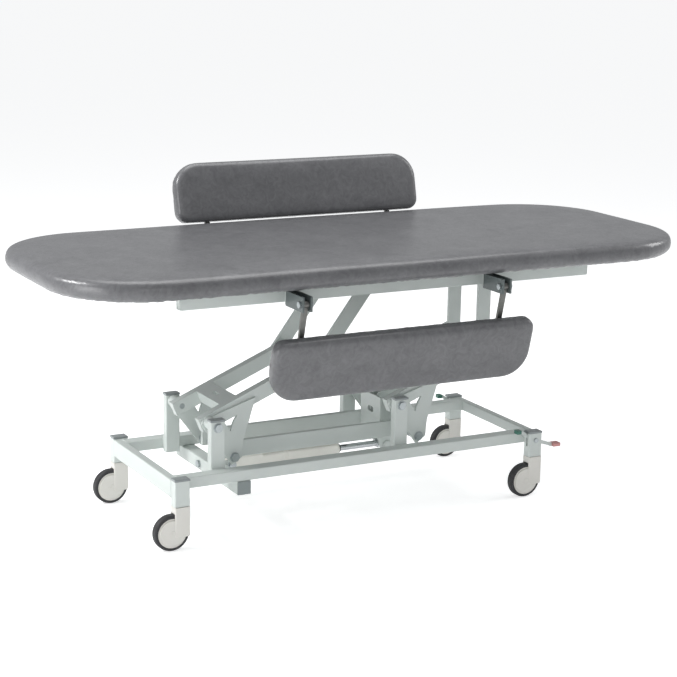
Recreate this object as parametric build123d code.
from build123d import *
import math
import os

# Height-adjustable examination couch: padded top, one side pad raised and one folded down,
# a parallel-link lift, an electric linear actuator and four castors.
# Working frame, in millimetres: X along the couch with X = 0 at the centre of the base
# frame, near side -Y, far side +Y, left -X, Z up from the floor.
# save() moves every piece to the part frame, whose origin is the centre of the
# mattress's upper face.

os.makedirs("parts", exist_ok=True)

SIDES = (-1, 1)         # near, far

# ---------------------------------------------------------------- dimensions
RUN_GAP = 0.05          # running clearance, radial
LOOSE_GAP = 0.30        # radial clearance at the opened pivots
SIDE_GAP = 0.5          # clearance between faces along a pin
OVERCUT = 1.0           # how far a cutter runs past a face
WALL = 2.5              # wall of the rails and cross members
TUBE_ROUND = 3.0        # outer edge radius of tubes and posts
HEAD_T = 7.0            # common hexagon head: thickness and width across flats
HEAD_FLATS = 20.0

# Lift posts and base frame. Y values are distances from the middle plane.
LIFT_POST_X = 42.0
LIFT_POST_Y0 = 143.5
LIFT_POST_Y1 = 168.5
LIFT_POST_Z0 = 153.0
LIFT_POST_Z1 = 321.0
BASE_HALF_X = 582.5     # half length over the corner posts
RAIL_Y0 = LIFT_POST_Y1
RAIL_Y1 = 208.5
RAIL_Z0 = 159.0
RAIL_Z1 = 190.0
LEFT_RAIL_X = 25.0      # left cross rail, on edge
LEFT_RAIL_Z0 = 140.0
RIGHT_RAIL_X = 22.0
POST_X = 43.0           # corner posts
POST_Y = 30.0
POST_Y0 = RAIL_Y1
POST_Y1 = POST_Y0 + POST_Y
POST_Z0 = 121.0
POST_Z1 = 191.0
CORNER_X = BASE_HALF_X - POST_X / 2
CORNER_Y = POST_Y0 + POST_Y / 2
CORNERS = {             # name: (X sign, Y sign)
    "near_left": (-1, -1), "far_left": (-1, 1), "near_right": (1, -1), "far_right": (1, 1),
}
STEM_R = 10.0           # castor stem
PEDAL_Z = 170.0         # pedal pivot
PEDAL_PIN_R = 4.0

# Levers
LEFT_X = -427.0         # base pivots of the two levers
RIGHT_X = 144.0
PIVOT_Z = 305.0
ARM_LEN = 345.0
ARM_ANGLE = 22.5
ARM_H = 40.0
ARM_T = 25.0
LEFT_ARM_Y = 78.0       # inner faces of the arms
RIGHT_ARM_Y = 105.5
PLATE_T = 8.0           # the plates lie against the outer faces of the arms
LEFT_PLATE_Y = LEFT_ARM_Y + ARM_T
RIGHT_PLATE_Y = RIGHT_ARM_Y + ARM_T
LOW_X = 76.0            # lower bolt, from the lever pivot
LOW_Z = PIVOT_Z - 107
PIN_R = 8.0
TIE_Y0 = 62.0
TIE_T = 14.0
TIE_Y1 = TIE_Y0 + TIE_T
TIE_H = 48.0
HANGER_W = 42.0
HANGER_T = 10.0
LEFT_HANGER_Y = 112.0   # inner faces of the hangers
RIGHT_HANGER_Y = 76.0

# Actuator
ACT_REAR_X = -322.0     # rear pin
ACT_EYE_X = 182.0       # rod eye
ACT_Z = 147.0
ACT_PIN_R = 6.0
ROD_R = 9.0

# Top frame and mattress
TOP_RAIL_Y0 = 277.0
TOP_RAIL_Y1 = 302.0
TOP_RAIL_Z0 = 668.0
TOP_RAIL_Z1 = 700.0
TOP_RAIL_CX = 37.0
TOP_RAIL_HALF_X = 630.0
MEMBER_Z0 = 676.0       # underside of the top cross members
BOARD_T = 10.0
BOARD_INSET = 85.0
MAT_CX = 63.0
MAT_L = 1930.0
MAT_W = 785.0
MAT_R = 262.0           # plan corner radius
MAT_T = 59.0
MAT_EDGE = 24.0
MAT_TOP = TOP_RAIL_Z1 + BOARD_T + MAT_T

# Side pads, described as raised on the far side
HINGE_Y = 388.0
HINGE_Z = 677.0
HINGE_R = 5.0
BAR_PITCH = 612.0
PADS = {                # name: (Y sign, raised, centre X, length, X of the left bar)
    "near": (-1, False, 30.0, 797.0, -281.0),
    "far": (1, True, 93.0, 812.0, -205.0),
}

PART_FRAME = Location((-MAT_CX, 0, -MAT_TOP))


# ------------------------------------------------------------------- helpers
def box(x0, x1, y0, y1, z0, z1, radius=0.0, axis=None):
    """Block between limits; radius rounds the edges parallel to axis."""
    y0, y1 = sorted((y0, y1))
    block = Pos((x0 + x1) / 2, (y0 + y1) / 2, (z0 + z1) / 2) * Box(x1 - x0, y1 - y0, z1 - z0)
    return fillet(block.edges().filter_by(axis), radius) if radius else block


def tube_x(x0, x1, y0, y1, z0, z1, wall=WALL):
    """Rounded rectangular tube along X."""
    y0, y1 = sorted((y0, y1))
    return (box(x0, x1, y0, y1, z0, z1, TUBE_ROUND, Axis.X)
            - box(x0 - OVERCUT, x1 + OVERCUT, y0 + wall, y1 - wall, z0 + wall, z1 - wall))


def tube_y(x0, x1, half_y, z0, z1, wall=WALL, radius=TUBE_ROUND):
    """Rectangular tube along Y, centred on Y = 0."""
    return (box(x0, x1, -half_y, half_y, z0, z1, radius, Axis.Y)
            - box(x0 + wall, x1 - wall, -half_y - OVERCUT, half_y + OVERCUT, z0 + wall, z1 - wall))


def cyl_x(y, z, x0, x1, radius):
    return Pos((x0 + x1) / 2, y, z) * Rot(0, 90, 0) * Cylinder(radius, x1 - x0)


def cyl_y(x, z, y0, y1, radius):
    y0, y1 = sorted((y0, y1))
    return Pos(x, (y0 + y1) / 2, z) * Rot(90, 0, 0) * Cylinder(radius, y1 - y0)


def cyl_z(x, y, z0, z1, radius):
    return Pos(x, y, (z0 + z1) / 2) * Cylinder(radius, z1 - z0)


def bore_x(y, z, x0, x1, radius):
    """Cutter for a through hole between the faces x0 and x1."""
    return cyl_x(y, z, x0 - OVERCUT, x1 + OVERCUT, radius)


def bore_y(x, z, y0, y1, radius):
    """Cutter for a through hole between the faces y0 and y1."""
    y0, y1 = sorted((y0, y1))
    return cyl_y(x, z, y0 - OVERCUT, y1 + OVERCUT, radius)


def prism(points, y0, y1):
    """Polygon of (x, z) points, extruded from y0 to y1."""
    y0, y1 = sorted((y0, y1))
    outline = Wire.make_polygon([Vector(x, y0, z) for x, z in points], close=True)
    return Solid.extrude(Face(outline), Vector(0, y1 - y0, 0))


def prism_at(x, z, offsets, y0, y1):
    """Prism whose points are given as (x, z) offsets from a reference point."""
    return prism([(x + dx, z + dz) for dx, dz in offsets], y0, y1)


def hex_y(x, z, y0, y1, flats):
    corner_r = flats / math.sqrt(3)
    angles = [math.radians(60 * i) for i in range(6)]
    corners = [(corner_r * math.cos(a), corner_r * math.sin(a)) for a in angles]
    return prism_at(x, z, corners, y0, y1)


def hex_x(y, z, x0, x1, flats):
    return Pos(x1, y, z) * Rot(0, 0, 90) * hex_y(0, 0, 0, x1 - x0, flats)


def pin_y(centre, side, tip, head, collar=None, head_t=HEAD_T, flats=HEAD_FLATS):
    """Pin from tip to the head's inner face; collar is (inner end, outer end, radius)."""
    x, z = centre
    pin = cyl_y(x, z, side * tip, side * head, PIN_R)
    if collar:
        inner, outer, radius = collar
        pin = pin + cyl_y(x, z, side * inner, side * outer, radius)
    return pin + hex_y(x, z, side * head, side * (head + head_t), flats)


def solids_of(*items):
    solids = []
    for item in items:
        if isinstance(item, (list, tuple)):
            solids += solids_of(*item)
        else:
            solids += list(item.solids())
    return solids


def save(name, *items):
    """Write the items' solids as one piece, in the part frame."""
    solids = [solid.moved(PART_FRAME) for solid in solids_of(*items)]
    shape = solids[0] if len(solids) == 1 else Compound(children=solids)
    export_step(shape, f"parts/{name}.step")


# ---------------------------------------------------------------- base frame
CROSS_TUBE_CX = -368.0  # lower cross tube, under the side rails
CROSS_TUBE_X = 40.0
CROSS_TUBE_X0 = CROSS_TUBE_CX - CROSS_TUBE_X / 2
CROSS_TUBE_X1 = CROSS_TUBE_CX + CROSS_TUBE_X / 2
CROSS_TUBE_Z0 = 121.0
CROSS_TUBE_Z1 = RAIL_Z0
CROSS_TUBE_WALL = 3.0
TUBE_BOLT_Y = 48.0
TUBE_BOLT_Z = (CROSS_TUBE_Z0 + CROSS_TUBE_Z1) / 2
TUBE_BOLT_R = 5.0
PLUG_DEPTH = 14.0
PLUG_FLANGE_T = 3.0
PLUG_INSET = 0.5        # flange, inside the tube's outline
EAR_Y0 = 23.0           # actuator bracket ears
EAR_Y1 = 29.0
EAR_HALF_H = 16.0
CAP_T = 6.0
CAP_LIP = 0.5

save("base_side_rails",
     [tube_x(-BASE_HALF_X + LEFT_RAIL_X, BASE_HALF_X - RIGHT_RAIL_X,
             side * RAIL_Y0, side * RAIL_Y1, RAIL_Z0, RAIL_Z1) for side in SIDES])
save("base_cross_rails",
     tube_y(-BASE_HALF_X, -BASE_HALF_X + LEFT_RAIL_X, POST_Y0, LEFT_RAIL_Z0, RAIL_Z1),
     tube_y(BASE_HALF_X - RIGHT_RAIL_X, BASE_HALF_X, POST_Y0, RAIL_Z0, RAIL_Z1))


def corner_post(sign_x, side):
    """Post with a stem socket; the right posts are also slotted for the pedals."""
    x, y = sign_x * CORNER_X, side * CORNER_Y
    socket_top, slot_bottom, slot_half = 151, 152.5, 4
    post = box(x - POST_X / 2, x + POST_X / 2, side * POST_Y0, side * POST_Y1,
               POST_Z0, POST_Z1, TUBE_ROUND, Axis.Z)
    post = post - cyl_z(x, y, POST_Z0 - OVERCUT, socket_top, STEM_R + RUN_GAP)
    if sign_x > 0:
        post = post - box(x - POST_X, x + POST_X, y - slot_half, y + slot_half,
                          slot_bottom, POST_Z1 + OVERCUT)
        post = post - bore_y(x, PEDAL_Z, side * POST_Y0, side * POST_Y1, PEDAL_PIN_R)
    return post


def lift_post(x, side):
    post = box(x - LIFT_POST_X / 2, x + LIFT_POST_X / 2, side * LIFT_POST_Y0,
               side * LIFT_POST_Y1, LIFT_POST_Z0, LIFT_POST_Z1, TUBE_ROUND, Axis.Z)
    return post - bore_y(x, PIVOT_Z, side * LIFT_POST_Y0, side * LIFT_POST_Y1, PIN_R)


def post_cap(x, width, side, y0, y1, z):
    """Cap with a lip on three sides, flush with the post on the inside."""
    cap = box(x - width / 2 - CAP_LIP, x + width / 2 + CAP_LIP,
              side * y0, side * (y1 + CAP_LIP), z, z + CAP_T)
    return fillet(cap.edges().group_by(Axis.Z)[-1], 2)


save("corner_posts", [corner_post(*signs) for signs in CORNERS.values()])
save("lift_posts", [lift_post(x, side) for x in (LEFT_X, RIGHT_X) for side in SIDES])
save("post_caps",
     [post_cap(sign_x * CORNER_X, POST_X, side, POST_Y0, POST_Y1, POST_Z1)
      for sign_x, side in CORNERS.values()],
     [post_cap(x, LIFT_POST_X, side, LIFT_POST_Y0, LIFT_POST_Y1, LIFT_POST_Z1)
      for x in (LEFT_X, RIGHT_X) for side in SIDES])


def lower_cross_tube():
    tube = tube_y(CROSS_TUBE_X0, CROSS_TUBE_X1, RAIL_Y1, CROSS_TUBE_Z0, CROSS_TUBE_Z1,
                  CROSS_TUBE_WALL)
    for side in SIDES:
        tube = tube - bore_x(side * TUBE_BOLT_Y, TUBE_BOLT_Z, CROSS_TUBE_X0,
                             CROSS_TUBE_X0 + CROSS_TUBE_WALL, TUBE_BOLT_R)
    return tube


def tube_plug(side):
    def layer(inset, y0, y1, *rounding):
        return box(CROSS_TUBE_X0 + inset, CROSS_TUBE_X1 - inset, side * y0, side * y1,
                   CROSS_TUBE_Z0 + inset, CROSS_TUBE_Z1 - inset, *rounding)

    return (layer(CROSS_TUBE_WALL, RAIL_Y1 - PLUG_DEPTH, RAIL_Y1)
            + layer(PLUG_INSET, RAIL_Y1, RAIL_Y1 + PLUG_FLANGE_T, 1.5, Axis.Y))


def actuator_rear_pin():
    pin = cyl_y(ACT_REAR_X, ACT_Z, -EAR_Y1, EAR_Y1, ACT_PIN_R)
    for side in SIDES:
        pin = pin + hex_y(ACT_REAR_X, ACT_Z, side * EAR_Y1, side * (EAR_Y1 + 6), 17)
    return pin


def tube_bolt(side):
    y = side * TUBE_BOLT_Y
    return (cyl_x(y, TUBE_BOLT_Z, CROSS_TUBE_X0, CROSS_TUBE_X0 + CROSS_TUBE_WALL, TUBE_BOLT_R)
            + hex_x(y, TUBE_BOLT_Z, CROSS_TUBE_X0 - HEAD_T, CROSS_TUBE_X0, 19))


def bracket_ear(side):
    ear = box(CROSS_TUBE_X1, ACT_REAR_X + 14, side * EAR_Y0, side * EAR_Y1,
              ACT_Z - EAR_HALF_H, ACT_Z + EAR_HALF_H)
    ear = fillet(ear.edges().filter_by(Axis.Y).group_by(Axis.X)[-1], 12)
    return ear - bore_y(ACT_REAR_X, ACT_Z, side * EAR_Y0, side * EAR_Y1, ACT_PIN_R)


save("lower_cross_tube", lower_cross_tube())
save("cross_tube_plugs", [tube_plug(side) for side in SIDES])
save("base_bolts",
     [pin_y((x, PIVOT_Z), side, tip, LIFT_POST_Y1)
      for x, tip in ((LEFT_X, LEFT_ARM_Y), (RIGHT_X, RIGHT_ARM_Y)) for side in SIDES],
     actuator_rear_pin(),
     [tube_bolt(side) for side in SIDES])
save("actuator_bracket", [bracket_ear(side) for side in SIDES])

# ------------------------------------------------------------------- castors
WHEEL_R = 50.0
WHEEL_T = 25.0          # over the tyre
CORE_R = 41.0
CORE_HALF = 12.0
TRAIL = 28.1            # the wheels trail to the left of their stems
AXLE_R = 5.0
LEG_HALF = 17.0         # half widths along Y
COVER_HALF = 15.5
POCKET_HALF = 13.0


def castor_housing(x, y, wheel_x):
    leg = box(x - POST_X / 2, x + POST_X / 2, y - LEG_HALF, y + LEG_HALF, 37, 120.2)
    leg = fillet(leg.edges().filter_by(Axis.Y).group_by(Axis.Z)[0], 5)
    leg = fillet(leg.edges().filter_by(Axis.Z), 3)
    cover = cyl_y(wheel_x, WHEEL_R, y - COVER_HALF, y + COVER_HALF, 36.5)
    cover = fillet(cover.edges(), 1.5)
    housing = leg + cover
    housing = housing - cyl_y(wheel_x, WHEEL_R, y - POCKET_HALF, y + POCKET_HALF, WHEEL_R + 2.5)
    housing = housing - bore_y(wheel_x, WHEEL_R, y - LEG_HALF, y + LEG_HALF, AXLE_R)
    return housing + cyl_z(x, y, 120, 148, STEM_R)


def castor_core(x, y):
    return (cyl_y(x, WHEEL_R, y - CORE_HALF, y + CORE_HALF, CORE_R)
            - bore_y(x, WHEEL_R, y - CORE_HALF, y + CORE_HALF, AXLE_R + RUN_GAP))


def castor_tyre(x, y):
    tyre = cyl_y(x, WHEEL_R, y - WHEEL_T / 2, y + WHEEL_T / 2, WHEEL_R)
    return (fillet(tyre.edges(), 6)
            - bore_y(x, WHEEL_R, y - WHEEL_T / 2, y + WHEEL_T / 2, CORE_R))


for corner, (sign_x, side) in CORNERS.items():
    x, y = sign_x * CORNER_X, side * CORNER_Y
    wheel_x = x - TRAIL
    save(f"castor_{corner}_housing", castor_housing(x, y, wheel_x))
    save(f"castor_{corner}_axle",
         cyl_y(wheel_x, WHEEL_R, y - COVER_HALF, y + COVER_HALF, AXLE_R))
    save(f"castor_{corner}_wheel", castor_core(wheel_x, y))
    save(f"castor_{corner}_tyre", castor_tyre(wheel_x, y))

# -------------------------------------------------------------- brake pedals
PEDAL_HALF_T = 3.0
PEDAL_OUTLINE = [       # (x, z) from the pedal pivot
    (0, 7), (-26, 20), (-40, 30), (-46, 24), (-30, 10), (-8, -5),
    (0, -7), (24, -15), (62, -27), (66, -18), (26, -5),
]


def pedal_block(y, x0, x1, half_y, z0, z1, radius=0.0):
    """Block placed from the pedal pivot, with its upright edges rounded."""
    return box(CORNER_X + x0, CORNER_X + x1, y - half_y, y + half_y,
               PEDAL_Z + z0, PEDAL_Z + z1, radius, Axis.Z)


def pedal_lever(y):
    y0, y1 = y - PEDAL_HALF_T, y + PEDAL_HALF_T
    lever = prism_at(CORNER_X, PEDAL_Z, PEDAL_OUTLINE, y0, y1)
    lever = lever - bore_y(CORNER_X, PEDAL_Z, y0, y1, PEDAL_PIN_R + RUN_GAP)
    right_end = pedal_block(y, 60, 66, PEDAL_HALF_T, -28, -19)
    left_end = pedal_block(y, -46, -40, PEDAL_HALF_T, 24, 30)
    return lever + right_end + left_end


def pedal_pin(side):
    head = side * POST_Y1
    return (cyl_y(CORNER_X, PEDAL_Z, side * POST_Y0, head, PEDAL_PIN_R)
            + cyl_y(CORNER_X, PEDAL_Z, head, head + side * 4, 7))


for name, side in (("near", -1), ("far", 1)):
    y = side * CORNER_Y
    save(f"pedal_{name}_lever", pedal_lever(y))
    save(f"pedal_{name}_brake_tab", pedal_block(y, 66, 92, 13, -28, -19, 4))
    save(f"pedal_{name}_steer_tab", pedal_block(y, -62, -46, 10, 23, 33, 3))
save("pedal_pins", [pedal_pin(side) for side in SIDES])

# -------------------------------------------------------------------- levers
ARM_COS = math.cos(math.radians(ARM_ANGLE))
ARM_SIN = math.sin(math.radians(ARM_ANGLE))
BOSS_R = 17.0
BOSS_END = LIFT_POST_Y0 - SIDE_GAP
# Outlines as (x, z) from the lever pivot
PLATE_OUTLINE = [
    (-24, -4), (69.4, -128.8), (98.8, -108.0), (103, -60), (138.6, 57.4), (-18, 8.5),
]
PLATE_OPENING = [(44, -3), (83, 12.5), (73, -4), (67, -18), (64, -32), (60, -28)]
LUG_OUTLINE = [
    (44, 24), (92, 44), (84, -60), (70, -140), (58, -172),
    (26, -176), (16, -160), (4, -110), (-2, -10),
]


def on_arm(pivot_x, along, across):
    """(x, z) of a point given along the arm from its pivot, and square to it upwards."""
    return (pivot_x + along * ARM_COS - across * ARM_SIN,
            PIVOT_Z + along * ARM_SIN + across * ARM_COS)


def arm_block(pivot_x, along0, along1, across0, across1, y0, y1):
    corners = [(along0, across0), (along1, across0), (along1, across1), (along0, across1)]
    return prism([on_arm(pivot_x, *corner) for corner in corners], y0, y1)


LEFT_UPPER = on_arm(LEFT_X, ARM_LEN, 0)     # upper pin centres
RIGHT_UPPER = on_arm(RIGHT_X, ARM_LEN, 0)
LEFT_LOWER = (LEFT_X + LOW_X, LOW_Z)        # lower pin centres
RIGHT_LOWER = (RIGHT_X + LOW_X, LOW_Z)


def lift_arm(pivot_x, inner_y, side):
    y0, y1 = side * inner_y, side * (inner_y + ARM_T)
    arm = arm_block(pivot_x, -24, ARM_LEN + 22, -ARM_H / 2, ARM_H / 2, y0, y1)
    arm = arm - bore_y(pivot_x, PIVOT_Z, y0, y1, PIN_R + RUN_GAP)
    return arm - bore_y(*on_arm(pivot_x, ARM_LEN, 0), y0, y1, PIN_R)


def lever_plate(pivot_x, inner_y, side):
    y0, y1 = side * inner_y, side * (inner_y + PLATE_T)
    plate = prism_at(pivot_x, PIVOT_Z, PLATE_OUTLINE, y0, y1)
    plate = plate + cyl_y(pivot_x, PIVOT_Z, y0, side * BOSS_END, BOSS_R)
    # opening between the strip to the lower bolt and the gusset to the arm
    plate = plate - prism_at(pivot_x, PIVOT_Z, PLATE_OPENING,
                             y0 - side * OVERCUT, y1 + side * OVERCUT)
    plate = plate - bore_y(pivot_x, PIVOT_Z, y0, side * BOSS_END, PIN_R + RUN_GAP)
    return plate - bore_y(pivot_x + LOW_X, LOW_Z, y0, y1, PIN_R)


def cross_plate(pivot_x, half_y):
    """Angle between the two arms of a lever: a top leaf and a leaf square to the arms."""
    top = arm_block(pivot_x, 55, 108, 14, 20, -half_y, half_y)
    upright = arm_block(pivot_x, 55, 61, -16, 20, -half_y, half_y)
    return top + upright


save("left_lift_arms", [lift_arm(LEFT_X, LEFT_ARM_Y, side) for side in SIDES])
save("right_lift_arms", [lift_arm(RIGHT_X, RIGHT_ARM_Y, side) for side in SIDES])
save("left_lever_plates", [lever_plate(LEFT_X, LEFT_PLATE_Y, side) for side in SIDES])
save("right_lever_plates", [lever_plate(RIGHT_X, RIGHT_PLATE_Y, side) for side in SIDES])
save("left_cross_plate",
     cross_plate(LEFT_X, LEFT_ARM_Y) - arm_block(LEFT_X, 76, 86, 5, 30, -14, 14))
save("right_cross_plate", cross_plate(RIGHT_X, RIGHT_ARM_Y))

UPPER_COLLAR_R = 14.0


def lower_pin(centre, plate_y, side, head_t):
    """Carried by the plate, in through the tie bar."""
    return pin_y(centre, side, tip=TIE_Y0 - 1, head=plate_y + PLATE_T,
                 collar=(TIE_Y1 + SIDE_GAP, plate_y, 13), head_t=head_t, flats=22)


def left_upper_pin(side):
    """Carried by the arm, out through the hanger."""
    return pin_y(LEFT_UPPER, side, tip=LEFT_ARM_Y, head=LEFT_HANGER_Y + HANGER_T + SIDE_GAP,
                 collar=(LEFT_PLATE_Y, LEFT_HANGER_Y - SIDE_GAP, UPPER_COLLAR_R))


def right_upper_pin(side):
    """Carried by the arm, in through the hanger."""
    return pin_y(RIGHT_UPPER, side, tip=RIGHT_HANGER_Y - 3, head=RIGHT_ARM_Y + ARM_T,
                 collar=(RIGHT_HANGER_Y + HANGER_T + SIDE_GAP, RIGHT_ARM_Y, UPPER_COLLAR_R))


# the right lower heads are thin, to stay inside the lift posts
RIGHT_LOWER_HEAD_T = LIFT_POST_Y0 - 0.7 - (RIGHT_PLATE_Y + PLATE_T)
save("left_lever_pins",
     [[left_upper_pin(side), lower_pin(LEFT_LOWER, LEFT_PLATE_Y, side, 8)] for side in SIDES])
save("right_lever_pins",
     [[right_upper_pin(side), lower_pin(RIGHT_LOWER, RIGHT_PLATE_Y, side, RIGHT_LOWER_HEAD_T)]
      for side in SIDES])


def actuator_lug():
    """Two cheeks under the right lever, where the actuator pushes, and a slotted plate."""
    cheek_y0, cheek_y1 = 12, 20
    plate_x0, plate_x1 = RIGHT_X - 8, RIGHT_X - 2
    slot_z, slot_r, slot_half = PIVOT_Z - 50, 8, 9
    plate = box(plate_x0, plate_x1, -58, 58, PIVOT_Z - 110, PIVOT_Z - 4)
    slot = box(plate_x0 - OVERCUT, plate_x1 + OVERCUT, -slot_half, slot_half,
               slot_z - slot_r, slot_z + slot_r)
    for side in SIDES:
        slot = slot + bore_x(side * slot_half, slot_z, plate_x0, plate_x1, slot_r)
    plate = plate - slot
    lug = plate + box(plate_x1, RIGHT_X + 10, -cheek_y1, cheek_y1, PIVOT_Z - 104, PIVOT_Z - 90)
    for side in SIDES:
        lug = lug + prism_at(RIGHT_X, PIVOT_Z, LUG_OUTLINE, side * cheek_y0, side * cheek_y1)
    lug = lug - cross_plate(RIGHT_X, RIGHT_ARM_Y)
    for side in SIDES:
        y = side * cheek_y1
        lug = lug + hex_y(ACT_EYE_X, ACT_Z, y, y + side * HEAD_T, HEAD_FLATS)
        lug = lug + hex_y(ACT_EYE_X + 26, ACT_Z + 5, y, y + side * 5, 14)
    return lug


def tie_bar(side):
    y0, y1 = side * TIE_Y0, side * TIE_Y1
    bottom = LOW_Z - 12
    bar = box(LEFT_LOWER[0] - 20, RIGHT_LOWER[0] + 20, y0, y1, bottom, bottom + TIE_H, 3, Axis.X)
    bar = bar - bore_y(*LEFT_LOWER, y0, y1, PIN_R + RUN_GAP)
    return bar - bore_y(*RIGHT_LOWER, y0, y1, PIN_R + LOOSE_GAP)


save("actuator_lug", actuator_lug())
save("tie_bars", [tie_bar(side) for side in SIDES])

# ------------------------------------------------------------------ actuator
MOTOR_X0 = -306.0
MOTOR_X1 = -222.0
MOTOR_HALF_Y = 22.0
ACT_TUBE_X1 = 22.0
NOSE_X1 = 30.0


def actuator_motor():
    y = MOTOR_HALF_Y
    motor = box(MOTOR_X0, MOTOR_X1, -y, y, ACT_Z - 23, ACT_Z + 23)
    motor = fillet(motor.edges().filter_by(Axis.X), 8)
    rear = (box(ACT_REAR_X, MOTOR_X0, -y, y, ACT_Z - 11, ACT_Z + 11)
            + cyl_y(ACT_REAR_X, ACT_Z, -y, y, 13))
    motor = motor + rear
    return motor - bore_y(ACT_REAR_X, ACT_Z, -y, y, ACT_PIN_R + RUN_GAP)


def actuator_tube():
    tube = box(MOTOR_X1, ACT_TUBE_X1, -17, 17, ACT_Z - 19, ACT_Z + 19)
    tube = fillet(tube.edges().filter_by(Axis.X), 9)
    tube = tube + cyl_x(0, ACT_Z, ACT_TUBE_X1, NOSE_X1, 15)
    tube = tube - cyl_x(0, ACT_Z, MOTOR_X1 + 3, ACT_TUBE_X1 + 2, 12)
    return tube - cyl_x(0, ACT_Z, ACT_TUBE_X1, NOSE_X1 + OVERCUT, ROD_R + RUN_GAP)


ROD_X1 = ACT_EYE_X - 13


def rod_eye():
    half_y, neck_x0 = 10.5, ACT_EYE_X - 28
    eye = (cyl_y(ACT_EYE_X, ACT_Z, -half_y, half_y, 15)
           + cyl_x(0, ACT_Z, neck_x0, ACT_EYE_X - 8, 10.4))
    eye = eye - bore_y(ACT_EYE_X, ACT_Z, -half_y, half_y, 6.5)
    return eye - cyl_x(0, ACT_Z, neck_x0 - OVERCUT, ROD_X1, ROD_R)


save("actuator_motor", actuator_motor())
save("actuator_tube", actuator_tube())
save("actuator_rod", cyl_x(0, ACT_Z, -96, ROD_X1, ROD_R))
save("actuator_rod_eye", rod_eye())

# ----------------------------------------------------------------- top frame
RIGHT_HANGER_X = RIGHT_UPPER[0]
HANGER_ANGLE = 53.2     # left hangers, from the X axis
MEMBERS = [             # (x0, x1) of each cross member
    (-540, -500), (44, 98), (RIGHT_HANGER_X - 22, RIGHT_HANGER_X + 22), (640, 680),
]

save("top_rails",
     [tube_x(TOP_RAIL_CX - TOP_RAIL_HALF_X, TOP_RAIL_CX + TOP_RAIL_HALF_X,
             side * TOP_RAIL_Y0, side * TOP_RAIL_Y1, TOP_RAIL_Z0, TOP_RAIL_Z1)
      for side in SIDES])
save("top_cross_members",
     [tube_y(x0, x1, TOP_RAIL_Y0, MEMBER_Z0, TOP_RAIL_Z1, radius=0) for x0, x1 in MEMBERS],
     # plate between the right hangers
     box(RIGHT_HANGER_X + 8, RIGHT_HANGER_X + 14, -RIGHT_HANGER_Y, RIGHT_HANGER_Y,
         618, MEMBER_Z0))


def finish_hanger(hanger, centre, y0, y1, gap):
    """Round the lower end and bore the pin hole."""
    hanger = fillet(hanger.edges().filter_by(Axis.Y).group_by(Axis.Z)[0], 8)
    return hanger - bore_y(*centre, y0, y1, PIN_R + gap)


def left_hanger(side):
    """Sloping strip from the upper pin, cut level under the cross member."""
    cos, sin = math.cos(math.radians(HANGER_ANGLE)), math.sin(math.radians(HANGER_ANGLE))
    pin_x, pin_z = LEFT_UPPER

    def point(along, across):
        return (pin_x + along * cos + across * sin, pin_z + along * sin - across * cos)

    def top_point(across):
        return point((MEMBER_Z0 - pin_z + across * cos) / sin, across)

    half = HANGER_W / 2
    y0, y1 = side * LEFT_HANGER_Y, side * (LEFT_HANGER_Y + HANGER_T)
    strip = prism([point(-18, -half), point(-18, half), top_point(half), top_point(-half)], y0, y1)
    return finish_hanger(strip, LEFT_UPPER, y0, y1, RUN_GAP)


def right_hanger(side):
    y0, y1 = side * RIGHT_HANGER_Y, side * (RIGHT_HANGER_Y + HANGER_T)
    strip = box(RIGHT_HANGER_X - HANGER_W / 2, RIGHT_HANGER_X + HANGER_W / 2, y0, y1,
                RIGHT_UPPER[1] - 20, MEMBER_Z0)
    return finish_hanger(strip, RIGHT_UPPER, y0, y1, LOOSE_GAP)


save("left_hangers", [left_hanger(side) for side in SIDES])
save("right_hangers", [right_hanger(side) for side in SIDES])

FORK_HALF_GAP = 9.5     # pad brackets
FORK_HALF = FORK_HALF_GAP + 5


def pad_bracket(x, side):
    end_y, z0, z1 = HINGE_Y + 14, 658, 699
    fork = box(x - FORK_HALF, x + FORK_HALF, side * TOP_RAIL_Y1, side * end_y, z0, z1)
    fork = fork - box(x - FORK_HALF_GAP, x + FORK_HALF_GAP, side * (TOP_RAIL_Y1 + 6),
                      side * (end_y + OVERCUT), z0 - OVERCUT, z1 + OVERCUT)
    return fork - bore_x(side * HINGE_Y, HINGE_Z, x - FORK_HALF, x + FORK_HALF, HINGE_R)


def pad_pivot_bolt(x, side):
    y, x0, x1 = side * HINGE_Y, x - FORK_HALF, x + FORK_HALF
    return (cyl_x(y, HINGE_Z, x0, x1, HINGE_R)
            + hex_x(y, HINGE_Z, x0 - 6, x0, 16) + hex_x(y, HINGE_Z, x1, x1 + 6, 16))


BAR_PLACES = [(x, side) for side, _, _, _, left_x in PADS.values()
              for x in (left_x, left_x + BAR_PITCH)]
save("pad_brackets", [pad_bracket(*place) for place in BAR_PLACES])
save("pad_pivot_bolts", [pad_pivot_bolt(*place) for place in BAR_PLACES])


def mattress():
    mat = extrude(RectangleRounded(MAT_L, MAT_W, MAT_R), MAT_T)
    mat = fillet(mat.edges().group_by(Axis.Z)[-1] + mat.edges().group_by(Axis.Z)[0], MAT_EDGE)
    return Pos(MAT_CX, 0, MAT_TOP - MAT_T) * mat


board = extrude(RectangleRounded(MAT_L - 2 * BOARD_INSET, MAT_W - 2 * BOARD_INSET,
                                 MAT_R - BOARD_INSET), BOARD_T)
save("mattress_board", Pos(MAT_CX, 0, TOP_RAIL_Z1) * board)
save("mattress", mattress())

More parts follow.
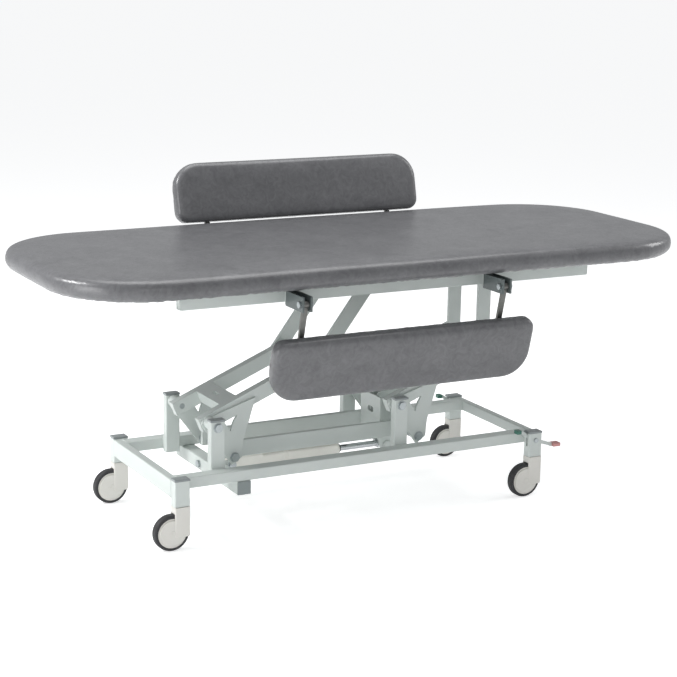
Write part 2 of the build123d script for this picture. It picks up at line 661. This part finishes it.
# ----------------------------------------------------------------- side pads
PAD_H = 176.0
PAD_GAP = 88.0          # pivot to the nearest edge of the pad, along the bars
PAD_T = 45.0            # cushion and board together
PAD_BOARD_T = 7.0
PAD_TILT = 14.0         # outward lean of the raised bars
PAD_FREE_R = 78.0       # corners away from the hinge
PAD_HINGE_R = 32.0      # corners next to the hinge
BAR_W = 15.0
BAR_T = 8.0
PAD_BACK_Y = HINGE_Y - BAR_T / 2


def pad_slab(centre_x, length, y0, y1, inset=0.0, edge_r=0.0):
    """Upright slab; edge_r rounds the rim of its -Y face."""
    outline = Rectangle(length - 2 * inset, PAD_H - 2 * inset)
    outline = fillet(outline.vertices().group_by(Axis.Y)[-1], PAD_FREE_R - inset)
    outline = fillet(outline.vertices().group_by(Axis.Y)[0], PAD_HINGE_R - inset)
    slab = extrude(outline, y1 - y0)
    if edge_r:
        slab = fillet(slab.edges().group_by(Axis.Z)[-1], edge_r)
    # sketch Y becomes Z, thickness runs towards -Y
    return Pos(centre_x, y1, HINGE_Z + PAD_GAP + PAD_H / 2) * (Rot(90, 0, 0) * slab)


def pad_bar(x):
    barrel = cyl_x(HINGE_Y, HINGE_Z, x - BAR_W / 2, x + BAR_W / 2, 9.5)
    upright = box(x - BAR_W / 2, x + BAR_W / 2, HINGE_Y - BAR_T / 2, HINGE_Y + BAR_T / 2,
                  HINGE_Z, HINGE_Z + PAD_GAP + PAD_H - 24)
    bar = barrel + upright
    return bar - bore_x(HINGE_Y, HINGE_Z, x - BAR_W / 2, x + BAR_W / 2, HINGE_R + RUN_GAP)


def place_pad(shape, side, raised):
    """Lean the upright shape outward, then bring it to its side and fold it if lowered."""
    shape = shape.rotate(Axis((0, HINGE_Y, HINGE_Z), (1, 0, 0)), -PAD_TILT)
    if side < 0:
        shape = shape.mirror(Plane.XZ)
    if not raised:
        shape = shape.rotate(Axis((0, side * HINGE_Y, HINGE_Z), (1, 0, 0)), 180)
    return shape


for name, (side, raised, centre_x, length, left_x) in PADS.items():
    board_y = PAD_BACK_Y - PAD_BOARD_T
    cushion = pad_slab(centre_x, length, PAD_BACK_Y - PAD_T, board_y, edge_r=17)
    backing = pad_slab(centre_x, length, board_y, PAD_BACK_Y, inset=12)
    save(f"pad_{name}_cushion", place_pad(cushion, side, raised))
    save(f"pad_{name}_board", place_pad(backing, side, raised))
    save(f"pad_{name}_bars",
         [place_pad(pad_bar(x), side, raised) for x in (left_x, left_x + BAR_PITCH)])
